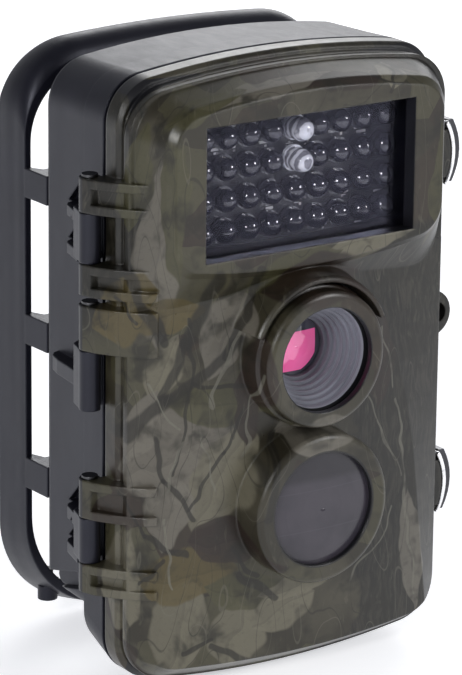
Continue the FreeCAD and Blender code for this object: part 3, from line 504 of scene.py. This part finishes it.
def rubber(name, tint):
    """Dull rubber with a little dust."""
    look = Look(name)
    dust = look.noise(0.7, 5.0, 0.7)
    colour = look.mix(look.step(dust, 0.48, 0.7), tint, toned(tint, 1.7, 0.01))
    rough = look.math("MULTIPLY_ADD", dust, 0.2, 0.55)
    return look.finish(colour, rough, look.noise(5.0, 3.0), 0.03, 0.3)


def pane_look(name, tint, strength):
    """Thin clear sheet: lets light straight through and mirrors a little, more at a slant."""
    look = Look(name)
    clear = look.node("BsdfTransparent")
    clear.inputs["Color"].default_value = (*tint, 1.0)
    mirror = look.node("BsdfGlossy")
    mirror.inputs["Color"].default_value = (0.75, 0.76, 1.0, 1.0)
    smear = look.noise(0.12, 4.0, 0.6)
    look.put(mirror.inputs["Roughness"], look.step(smear, 0.3, 0.8, 0.03, 0.12))
    slant = look.node("Fresnel")
    slant.inputs["IOR"].default_value = 1.45
    amount = look.math("MULTIPLY", slant.outputs[0], strength)
    join = look.node("MixShader")
    look.put(join.inputs[0], amount)
    look.put(join.inputs[1], clear.outputs[0])
    look.put(join.inputs[2], mirror.outputs[0])
    look.put(look.output.inputs["Surface"], join.outputs[0])
    look.tree.nodes.remove(look.shader)
    return look.material


def ir_led_look():
    """Dark epoxy, with a paler rim at the foot of each lamp painted as the highlight on its flange."""
    look = Look("infrared_epoxy")
    y = look.mm()[2]
    haze = look.noise(0.8, 3.0)
    colour = look.mix(haze, (0.006, 0.006, 0.010), (0.016, 0.015, 0.024))
    # Painted highlight: a paler ring round the flange at the foot of each lamp.
    rim = look.both(look.step(y, -6.2, -6.1), look.step(y, -5.3, -5.2, 1.0, 0.0))
    colour = look.mix(look.math("MULTIPLY", rim, 0.5), colour, (0.05, 0.05, 0.06))
    rough = look.math("MULTIPLY_ADD", haze, 0.04, 0.10)
    return look.finish(colour, rough, haze, 0.002, Specular_IOR_Level=1.0)


def clear_led_look():
    """Clear epoxy, drawn with painted highlights: bright bands with a pale core, for light caught in the
    epoxy.
    """
    look = Look("clear_epoxy")
    bands = look.node("TexWave", bands_direction="Y")
    look.put(bands.inputs["Vector"], look.mm()[0])
    bands.inputs["Scale"].default_value = 0.18
    bands.inputs["Distortion"].default_value = 5.0
    bands.inputs["Detail"].default_value = 2.0
    bands.inputs["Detail Scale"].default_value = 1.5
    # Painted highlights: bright bands and pale spots stand for light caught in the clear epoxy.
    painted_highlight_bands = look.step(bands.outputs["Fac"], 0.35, 0.8)
    painted_highlight_core = look.cells(0.5)
    colour = look.mix(painted_highlight_bands, (0.22, 0.22, 0.25), (0.80, 0.81, 0.86))
    colour = look.mix(look.step(painted_highlight_core, 0.1, 0.5, 0.6, 0.0), colour, (0.95, 0.95, 0.97))
    return look.finish(colour, 0.08, bands.outputs["Fac"], 0.05, Coat_Weight=1.0, Coat_Roughness=0.03)


def baffle_look():
    """The stepped grey baffle round the lens, with painted shade: black at its rim and darker in its depth.
    """
    look = Look("grey_baffle")
    y = look.mm()[2]
    rings = look.noise(4.0, 3.0, 0.6, look.vector(look.radius(0.0, LENS_Z), y, 0.0))
    colour = look.mix(look.step(rings, 0.3, 0.7), (0.15, 0.15, 0.185), (0.235, 0.24, 0.285))
    # Painted shade: black at the rim of the baffle.
    rim = look.step(look.radius(0.0, LENS_Z), 11.0, 11.1)
    colour = look.mix(rim, colour, (0.006, 0.006, 0.008))
    # Painted shade: darker deeper in the baffle.
    depth_painted_shade = look.step(y, -16.0, -12.0)
    colour = look.mix(look.math("MULTIPLY", depth_painted_shade, 0.5), colour, (0.07, 0.07, 0.09))
    return look.finish(colour, 0.45, rings, 0.01, 0.12)


def coated_lens_look():
    """The outermost element, with the square pink reflection of its coating painted on, and made to glow a
    little by emission.
    """
    look = Look("coated_lens")
    _, x, _, z = look.mm()
    # Painted reflection: a pink square on the glass.
    square = look.both(look.step(x, 4.9, 5.1, 1.0, 0.0), look.within(z, 71.6, 4.3),
                       look.step(look.radius(-2.0, 74.5), 7.9, 8.1, 1.0, 0.0))
    shade = look.noise(0.25, 2.0)
    pink = look.mix(shade, (0.95, 0.12, 0.38), (0.88, 0.20, 0.46))
    glass = look.mix(shade, (0.05, 0.05, 0.07), (0.09, 0.09, 0.12))
    colour = look.mix(square, glass, pink)
    # The painted pink reflection also glows by emission.
    look.put(look.shader.inputs["Emission Color"], look.mix(square, (0.0, 0.0, 0.0), (0.9, 0.12, 0.36)))
    return look.finish(colour, look.math("MULTIPLY_ADD", shade, 0.05, 0.04), shade, 0.004, Coat_Weight=1.0,
                       Emission_Strength=0.25)


def lens_look(name, tint):
    """Coated glass, darker away from the lens's axis."""
    look = Look(name)
    ring = look.radius(0.0, LENS_Z)
    shade = look.noise(0.6, 3.0)
    colour = look.mix(look.step(ring, 1.0, 4.4), tint, toned(tint, 0.4))
    return look.finish(colour, look.math("MULTIPLY_ADD", shade, 0.05, 0.04), shade, 0.003, Coat_Weight=1.0)


def pir_look():
    """Ribbed dark film in the shape of a Fresnel lens, in three rows of facets, with painted shade darkening
    its top.
    """
    look = Look("motion_sensor_film")
    z = look.mm()[3]
    groove = look.ripple(look.radius(0.0, PIR_Z), "MULTIPLY", 1.25)
    cloud = look.noise(0.1, 3.0)
    colour = look.mix(look.step(cloud, 0.3, 0.7), (0.030, 0.027, 0.036), (0.044, 0.039, 0.050))
    # Painted shade: the film is made darker towards its top.
    top = look.step(z, PIR_Z + 5.5, PIR_Z + 7.5, 0.0, 0.65)
    colour = look.mix(top, colour, (0.010, 0.009, 0.013))
    facet = look.within(look.away(z, PIR_Z), 4.4, 0.12)
    colour = look.mix(look.math("MULTIPLY", facet, 0.3), colour, (0.06, 0.055, 0.07))
    rough = look.math("MULTIPLY_ADD", cloud, 0.06, 0.16)
    return look.finish(colour, rough, groove, 0.006, Specular_IOR_Level=0.45)


# Printed names on the inner panel, as bars: x and z of the middle, and half the length
PANEL_BARS = ((-22, 44.2, 4.0), (-22, 24.0, 4.0), (22, 46.6, 3.0), (22, 27.2, 3.0), (-12, 10.4, 4.5),
              (10, 10.4, 3.5), (0, 100.4, 8.0))


def panel_look():
    """The black panel behind the door: bars for names, a ring round the keys, a frame round the screen."""
    look = Look("inner_panel_black")
    _, x, y, z = look.mm()
    grain = look.noise(9.0, 2.0)
    colour = look.mix(look.noise(0.1, 3.0), (0.014, 0.014, 0.017), (0.024, 0.024, 0.028))
    frame_out = look.both(look.within(x, 0.0, 23.8), look.within(z, SCREEN_Z, 18.6))
    frame_in = look.both(look.within(x, 0.0, 23.3), look.within(z, SCREEN_Z, 18.1))
    border = look.math("SUBTRACT", frame_out, frame_in, clamp=True)
    ring_out = look.step(look.radius(0.0, KEYPAD_Z), 13.2, 13.3, 1.0, 0.0)
    ring_in = look.step(look.radius(0.0, KEYPAD_Z), 12.8, 12.9, 1.0, 0.0)
    ring = look.math("SUBTRACT", ring_out, ring_in, clamp=True)
    word = look.step(look.noise(2.4, 0.0, 0.5, look.vector(x, 0.0, 7.0)), 0.44, 0.47)
    bars = [look.both(look.within(x, at_x, half), look.within(z, at_z, 0.5), word)
            for at_x, at_z, half in PANEL_BARS]
    legend = look.both(look.either(border, ring, *bars), look.step(y, -1.4, -1.3))
    colour = look.mix(look.math("MULTIPLY", legend, 0.8), colour, (0.42, 0.43, 0.44))
    return look.finish(colour, 0.45, grain, 0.015, 0.3)


def screen_look():
    """The display, switched off: a dark live area of fine columns, with pale tape behind."""
    look = Look("display")
    _, x, y, z = look.mm()
    live = look.both(look.within(x, 0.0, 20.0), look.within(z, SCREEN_Z, 15.0))
    dots = look.math("MULTIPLY", look.math("FRACT", look.math("MULTIPLY", x, 6.0)), 0.5)
    columns = look.mix(dots, (0.020, 0.024, 0.032), (0.028, 0.032, 0.040))
    colour = look.mix(live, (0.008, 0.008, 0.009), columns)
    tape = look.step(y, -5.6, -5.5, 1.0, 0.0)
    colour = look.mix(tape, colour, (0.30, 0.30, 0.31))
    rough = look.math("MULTIPLY_ADD", live, -0.1, 0.25)
    return look.finish(colour, rough, look.noise(0.5, 3.0), 0.006, 0.1)


def cell_look():
    """An AA cell: printed film with a copper-coloured end, bands and small print, and bare ends."""
    look = Look("cell_wrap")
    _, x, _, z = look.mm()
    upper_row = look.step(z, 75.9, 76.1)
    row = look.math("SUBTRACT", z, look.math("MULTIPLY", upper_row, CELL_ROW_STEP))
    pair_width = 29.2
    column = look.math("FRACT", look.math("DIVIDE", look.math("ADD", x, pair_width), pair_width))
    flip = look.step(column, 0.49, 0.51)
    upper = look.math("SUBTRACT", 1.0, look.away(flip, upper_row))
    middle = look.math("SUBTRACT", row, CELL_ROWS[0])
    toward = look.math("MULTIPLY", middle, look.math("MULTIPLY_ADD", upper, 2.0, -1.0))
    copper = look.step(toward, 8.0, 8.2)
    colour = look.mix(copper, (0.010, 0.011, 0.014), (0.50, 0.25, 0.09))
    band = look.either(look.within(toward, 7.2, 0.4), look.within(toward, -21.0, 0.5))
    colour = look.mix(band, colour, (0.55, 0.55, 0.52))
    print_rows = look.step(look.math("FRACT", look.math("DIVIDE", z, 1.5)), 0.5, 0.55)
    letters = look.step(look.noise(1.6, 0.0, 0.5, look.vector(x, 0.0, look.math("SNAP", z, 1.5))), 0.55, 0.57)
    small = look.both(print_rows, letters, look.within(toward, -8.0, 9.0))
    colour = look.mix(look.math("MULTIPLY", small, 0.6), colour, (0.5, 0.5, 0.5))
    end = look.step(look.math("ABSOLUTE", middle), 24.2, 24.4)
    colour = look.mix(end, colour, (0.62, 0.61, 0.58))
    scuff = look.noise(1.2, 5.0, 0.7)
    look.put(look.shader.inputs["Metallic"], look.math("MAXIMUM", end, look.math("MULTIPLY", copper, 0.6)))
    return look.finish(colour, look.math("MULTIPLY_ADD", scuff, 0.2, 0.2), scuff, 0.01, 0.3)


def tray_look():
    """The battery tray: black, with the plus and minus signs that show how the cells go in."""
    look = Look("battery_tray_black")
    _, x, _, z = look.mm()
    signs = []
    for middle in CELL_ROWS:
        for k, at in enumerate(CELL_COLUMNS):
            bar = look.both(look.within(x, at, 1.5), look.within(z, middle, 0.3))
            up = 1 if k % 2 == 0 else -1
            plus = look.both(look.within(x, at, 0.3), look.within(z, middle + 6 * up, 1.5))
            cross = look.both(look.within(x, at, 1.5), look.within(z, middle + 6 * up, 0.3))
            signs += [bar, plus, cross]
    colour = look.mix(look.noise(0.1, 3.0), (0.012, 0.012, 0.014), (0.022, 0.022, 0.025))
    colour = look.mix(look.math("MULTIPLY", look.either(*signs), 0.7), colour, (0.4, 0.4, 0.4))
    return look.finish(colour, 0.5, look.noise(8.0, 2.0), 0.018, 0.3)


def key_look(name, sign, at_x, at_z):
    """A grey rubber key with its printed sign."""
    look = Look(name)
    _, x, y, z = look.mm()
    dx = look.math("SUBTRACT", x, at_x)
    dz = look.math("SUBTRACT", z, at_z)
    if sign in ("up", "down", "left", "right"):
        forward, across = (dz, dx) if sign in ("up", "down") else (dx, dz)
        if sign in ("down", "right"):
            forward = look.math("MULTIPLY", forward, -1.0)
        slope = look.math("ADD", look.math("ABSOLUTE", across), look.math("MULTIPLY", forward, 0.6))
        mark = look.both(look.step(slope, 0.7, 0.8, 1.0, 0.0), look.step(forward, -1.1, -1.0))
    elif sign == "menu":
        lines = [look.within(dz, h, 0.18, 0.03) for h in (-0.8, 0.0, 0.8)]
        mark = look.both(look.either(*lines), look.within(dx, 0.0, 1.2, 0.03))
    elif sign == "view":
        mark = look.both(look.within(dx, 0.0, 1.3, 0.03), look.within(dz, 0.0, 0.9, 0.03))
    else:
        outer = look.step(look.radius(at_x, at_z), 1.4, 1.5, 1.0, 0.0)
        inner = look.step(look.radius(at_x, at_z), 1.0, 1.1, 1.0, 0.0)
        mark = look.math("SUBTRACT", outer, inner, clamp=True)
    dust = look.noise(0.9, 5.0, 0.7)
    colour = look.mix(look.step(dust, 0.45, 0.7), (0.085, 0.088, 0.092), (0.12, 0.122, 0.126))
    colour = look.mix(look.math("MULTIPLY", mark, look.step(y, -1.0, -0.8)), colour, (0.75, 0.75, 0.74))
    rough = look.math("MULTIPLY_ADD", dust, 0.15, 0.5)
    return look.finish(colour, rough, look.noise(5.0, 3.0), 0.02, 0.35)


def card_look():
    """The memory card: black, with a striped label that says nothing."""
    look = Look("memory_card")
    _, x, y, z = look.mm()
    label = look.both(look.step(y, -5.4, -5.35), look.within(x, -13.5, 4.6), look.within(z, 15.0, 3.6))
    lines = look.step(look.math("FRACT", look.math("DIVIDE", z, 1.1)), 0.5, 0.6)
    colour = look.mix(label, (0.012, 0.012, 0.014), look.mix(lines, (0.10, 0.22, 0.34), (0.4, 0.42, 0.44)))
    return look.finish(colour, 0.32, look.noise(6.0, 3.0), 0.01, 0.1)


def switch_knob_look():
    """The switch's white knob, ribbed across, a little dusty."""
    look = Look("white_knob")
    ribs = look.ripple(look.mm()[3], "DIVIDE", 0.75)
    dust = look.noise(0.9, 5.0, 0.7)
    colour = look.mix(look.step(dust, 0.5, 0.75), (0.62, 0.62, 0.60), (0.42, 0.41, 0.38))
    return look.finish(colour, 0.4, ribs, 0.12, 0.2)


def make_camera():
    sight = Vector((math.sin(VIEW_AZIMUTH) * math.cos(VIEW_ELEVATION),
                    math.cos(VIEW_AZIMUTH) * math.cos(VIEW_ELEVATION), -math.sin(VIEW_ELEVATION)))
    data = bpy.data.cameras.new("camera")
    data.lens = VIEW_LENS
    data.clip_start, data.clip_end = 0.05, 20.0
    camera = bpy.data.objects.new("camera", data)
    bpy.context.collection.objects.link(camera)
    level = sight.to_track_quat("-Z", "Y").to_matrix().to_4x4()
    camera.matrix_world = (Matrix.Translation(Vector(AIM) - sight * VIEW_DISTANCE) @ level
                           @ Matrix.Rotation(VIEW_ROLL, 4, "Z"))
    bpy.context.scene.camera = camera


def softbox(name, azimuth, elevation, distance, size, radiance):
    """A square light at an angle from straight ahead, clockwise seen from above, aimed at the object."""
    a, e = math.radians(azimuth), math.radians(elevation)
    aim = Vector((0.0, 0.0, 0.06))
    at = aim + distance * Vector((math.sin(a) * math.cos(e), -math.cos(a) * math.cos(e), math.sin(e)))
    data = bpy.data.lights.new(name, "AREA")
    data.shape = "SQUARE"
    data.size = size
    data.energy = radiance * math.pi * size * size
    lamp = bpy.data.objects.new(name, data)
    bpy.context.collection.objects.link(lamp)
    lamp.location = at
    lamp.rotation_mode = "QUATERNION"
    lamp.rotation_quaternion = (aim - at).to_track_quat("-Z", "Y")


def make_world():
    """A dim surround, brighter behind the object than in front of it."""
    world = bpy.data.worlds.new("studio")
    bpy.context.scene.world = world
    world.use_nodes = True
    nodes, links = world.node_tree.nodes, world.node_tree.links
    place = nodes.new("ShaderNodeTexCoord")
    along = nodes.new("ShaderNodeVectorMath")
    along.operation = "DOT_PRODUCT"
    links.new(place.outputs["Generated"], along.inputs[0])
    along.inputs[1].default_value = (0.56, 0.83, 0.0)
    ramp = nodes.new("ShaderNodeMapRange")
    ramp.interpolation_type = "SMOOTHSTEP"
    links.new(along.outputs["Value"], ramp.inputs[0])
    for socket, value in zip(ramp.inputs[1:5], (-0.4, 0.95, 0.17, 0.40)):
        socket.default_value = value
    links.new(ramp.outputs[0], nodes["Background"].inputs["Strength"])
    nodes["Background"].inputs["Color"].default_value = (0.92, 0.94, 1.0, 1.0)


def make_floor():
    """A white floor that also glows a little, so that it reads as white behind the object."""
    bpy.ops.mesh.primitive_plane_add(size=6, location=(0, 0, 0))
    floor = bpy.context.active_object
    floor.name = "floor"
    look = Look("white_sweep")
    colour = look.mix(look.noise(0.01, 3.0), (0.86, 0.86, 0.86), (0.88, 0.88, 0.88))
    floor.data.materials.append(look.finish(colour, 0.7, Emission_Color=(0.95, 0.96, 1.0, 1.0),
                                            Emission_Strength=0.55))


case_black = plastic("case_black", (0.0052, 0.0052, 0.0092), 0.40, 0.016, 0.6, 0.2, 0.42)
steel = metal("steel", (0.50, 0.50, 0.50))
dark_steel = metal("blackened_steel", (0.09, 0.09, 0.095), 0.32)
bright_wire = metal("bright_wire", (0.86, 0.86, 0.87), 0.18)
nickel = metal("nickel_strip", (0.72, 0.70, 0.66), 0.25)
brass = metal("brass", (0.62, 0.44, 0.18), 0.3, 0.15, (0.1, 0.1, 1.0))
tinned = metal("tinned", (0.62, 0.62, 0.63), 0.33)
black_part = plastic("component_black", (0.014, 0.014, 0.015), 0.45, 0.02, 0.15)
tray_black = plastic("lamp_tray_black", (0.004, 0.004, 0.007), 0.35, 0.015, 0.2)

LOOKS = {
    "front_cover": front_cover_look(),
    "rear_case": case_black,
    "strap_bracket": plastic("bracket_black", (0.0050, 0.0050, 0.0090), 0.40, 0.016, 0.6, 0.2, 0.38),
    "bracket_screws": steel,
    "tripod_insert": brass,
    "dc_jack": black_part,
    "port_cover": rubber("port_rubber", (0.014, 0.014, 0.015)),
    "battery_tray": tray_look(),
    "aa_cells": cell_look(),
    "battery_springs": bright_wire,
    "battery_contacts": nickel,
    "latch_pins": steel,
    "hinge_pin_upper": dark_steel,
    "hinge_pin_middle": dark_steel,
    "hinge_pin_lower": dark_steel,
    "door_seal": rubber("seal_rubber", (0.004, 0.004, 0.004)),
    "led_window": pane_look("lamp_window", (0.95, 0.95, 0.97), 0.22),
    "led_plate": tray_black,
    "ir_leds": ir_led_look(),
    "clear_leds": clear_led_look(),
    "led_board": board_look("lamp_board", (0.003, 0.003, 0.005), (0.006, 0.006, 0.009)),
    "lens_baffle": baffle_look(),
    "lens_glass": coated_lens_look(),
    "lens_element": lens_look("inner_lens", (0.12, 0.16, 0.14)),
    "lens_barrel": black_part,
    "lens_holder": black_part,
    "image_sensor": lens_look("sensor_glass", (0.10, 0.09, 0.16)),
    "pir_window": pir_look(),
    "pir_funnel": tray_black,
    "pir_sensor": tinned,
    "main_board": board_look("main_board_green", (0.012, 0.075, 0.032), (0.022, 0.125, 0.055)),
    "board_screws": steel,
    "board_chips": chip_look(),
    "microphone": tinned,
    "speaker": black_part,
    "sd_slot": tinned,
    "sd_card": card_look(),
    "usb_port": tinned,
    "key_switches": chip_look(),
    "slide_switch": tinned,
    "power_switch": switch_knob_look(),
    "inner_panel": panel_look(),
    "panel_screws": steel,
    "lcd_window": pane_look("screen_window", (0.9, 0.9, 0.92), 0.8),
    "lcd_screen": screen_look(),
    "latch_upper": plastic("latch_upper_plastic", (0.020, 0.019, 0.018), 0.28, 0.008, 0.3, 0.2, 0.6),
    "latch_lower": plastic("latch_lower_plastic", (0.021, 0.020, 0.019), 0.28, 0.008, 0.3, 0.2, 0.6),
    "wire_upper": bright_wire,
    "wire_lower": bright_wire,
}
# Keys of the inner panel: sign, x and z
KEYS = (("up", 0, 42.5), ("down", 0, 25.5), ("left", -9, KEYPAD_Z), ("right", 9, KEYPAD_Z),
        ("ok", 0, KEYPAD_Z), ("menu", -22, 39), ("view", -22, 29))
for sign, at_x, at_z in KEYS:
    LOOKS["key_" + sign] = key_look("key_" + sign + "_rubber", sign, at_x, at_z)

for part in frame["record"]["subparts"]:
    mesh = frame["nodes"][part["node"]].data
    mesh.materials.clear()
    mesh.materials.append(LOOKS[part["node"]])

make_camera()
softbox("left_box", azimuth=-56, elevation=22, distance=1.2, size=0.28, radiance=26)
softbox("right_box", azimuth=36, elevation=24, distance=1.2, size=0.28, radiance=22)
softbox("rear_box", azimuth=137, elevation=27, distance=1.6, size=1.0, radiance=3.0)
make_world()
make_floor()
bpy.context.scene.view_settings.view_transform = "Standard"
